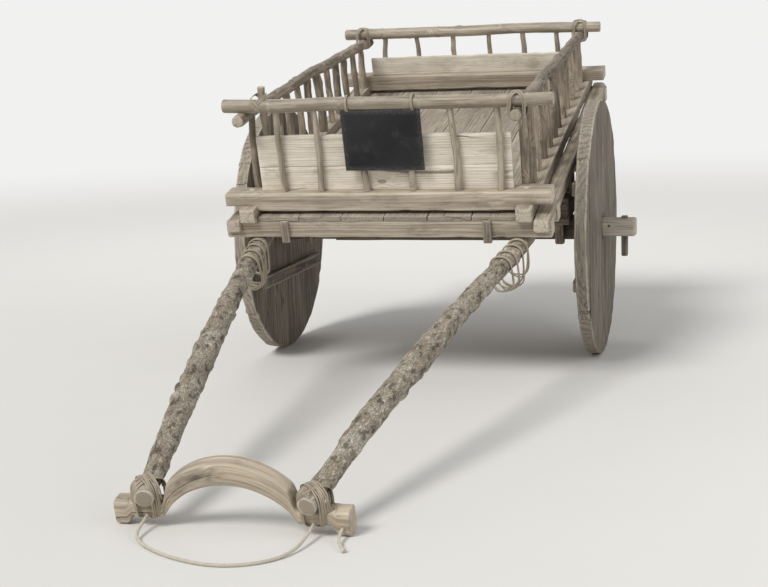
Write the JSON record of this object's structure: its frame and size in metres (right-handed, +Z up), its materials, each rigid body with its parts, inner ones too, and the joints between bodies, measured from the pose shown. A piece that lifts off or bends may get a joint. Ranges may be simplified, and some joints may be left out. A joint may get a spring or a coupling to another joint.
{
  "type": "bullock cart",
  "caption": "Two-wheeled farm cart with solid plank wheels on a turning axle, stick fences, log shafts and a neck yoke, parked with its yoke on the floor.",
  "frame": {"origin": "on the floor, under the middle of the parked cart's bounding box", "axes": "-Y towards the front (the yoke), +X to the cart's left, +Z up; the bed is pitched nose-down about the axle"},
  "size_m": [1.926, 4.2244, 1.5956],
  "materials": {
    "wheel_plank": "weathered, rough-sawn, worn at the rim",
    "dark_timber": "old dark timber, rubbed",
    "cane": "split cane strips, matte",
    "bark_log": "log with its bark on",
    "pole_wood": "smooth cane pole, satin",
    "stick_wood": "rough sticks, matte",
    "rope": "laid fibre rope, matte",
    "label": "black gloss paint on board, blank",
    "board": "pale weathered boards, matte",
    "yoke_wood": "hand-worn pale timber",
    "beam": "pale adzed timber, matte"
  },
  "bodies": {
    "cart": {"bearing_block_left": "dark_timber", "axle_peg_left_front": "dark_timber", "axle_peg_left_rear": "dark_timber", "bearing_block_right": "dark_timber", "axle_peg_right_front": "dark_timber", "axle_peg_right_rear": "dark_timber", "bolster": "dark_timber", "front_beam": "beam", "second_beam": "beam", "axle_beam": "beam", "middle_beam": "beam", "rear_beam": "beam", "side_sill_left": "beam", "guard_rail_left": "beam", "side_sill_right": "beam", "guard_rail_right": "beam", "floor_planks": "board", "front_head_beam": "beam", "tail_head_beam": "beam", "top_rail_left": "stick_wood", "fence_sticks_left": "stick_wood", "top_rail_right": "stick_wood", "fence_sticks_right": "stick_wood", "front_pole": "pole_wood", "front_stakes": "pole_wood", "tail_pole": "pole_wood", "tail_stakes": "pole_wood", "front_boards": "board", "tail_board": "board", "corner_post": "pole_wood", "pole_lashings": "cane", "post_lashing": "cane", "label_board": "label", "label_ties": "cane", "hook_pegs": "beam", "shaft_left": "bark_log", "shaft_loops_left": "cane", "shaft_right": "bark_log", "shaft_loops_right": "cane", "yoke": "yoke_wood", "yoke_lashing_left": "cane", "yoke_lashing_right": "cane", "throat_rope": "rope", "rope_tail": "rope", "rope_knot": "rope"},
    "wheelset": {"axle": "dark_timber", "wheel_left_middle_plank": "wheel_plank", "wheel_left_front_cheek": "wheel_plank", "wheel_left_rear_cheek": "wheel_plank", "wheel_left_battens": "wheel_plank", "linchpin_left": "wheel_plank", "wheel_right_middle_plank": "wheel_plank", "wheel_right_front_cheek": "wheel_plank", "wheel_right_rear_cheek": "wheel_plank", "wheel_right_battens": "wheel_plank", "linchpin_right": "wheel_plank"}
  },
  "joints": [
    {"name": "axle_turn", "type": "hinge", "parent": "cart", "child": "wheelset", "pos_m": [0, 0.88868, 0.595], "axis": [1, 0, 0], "continuous": true}
  ]
}
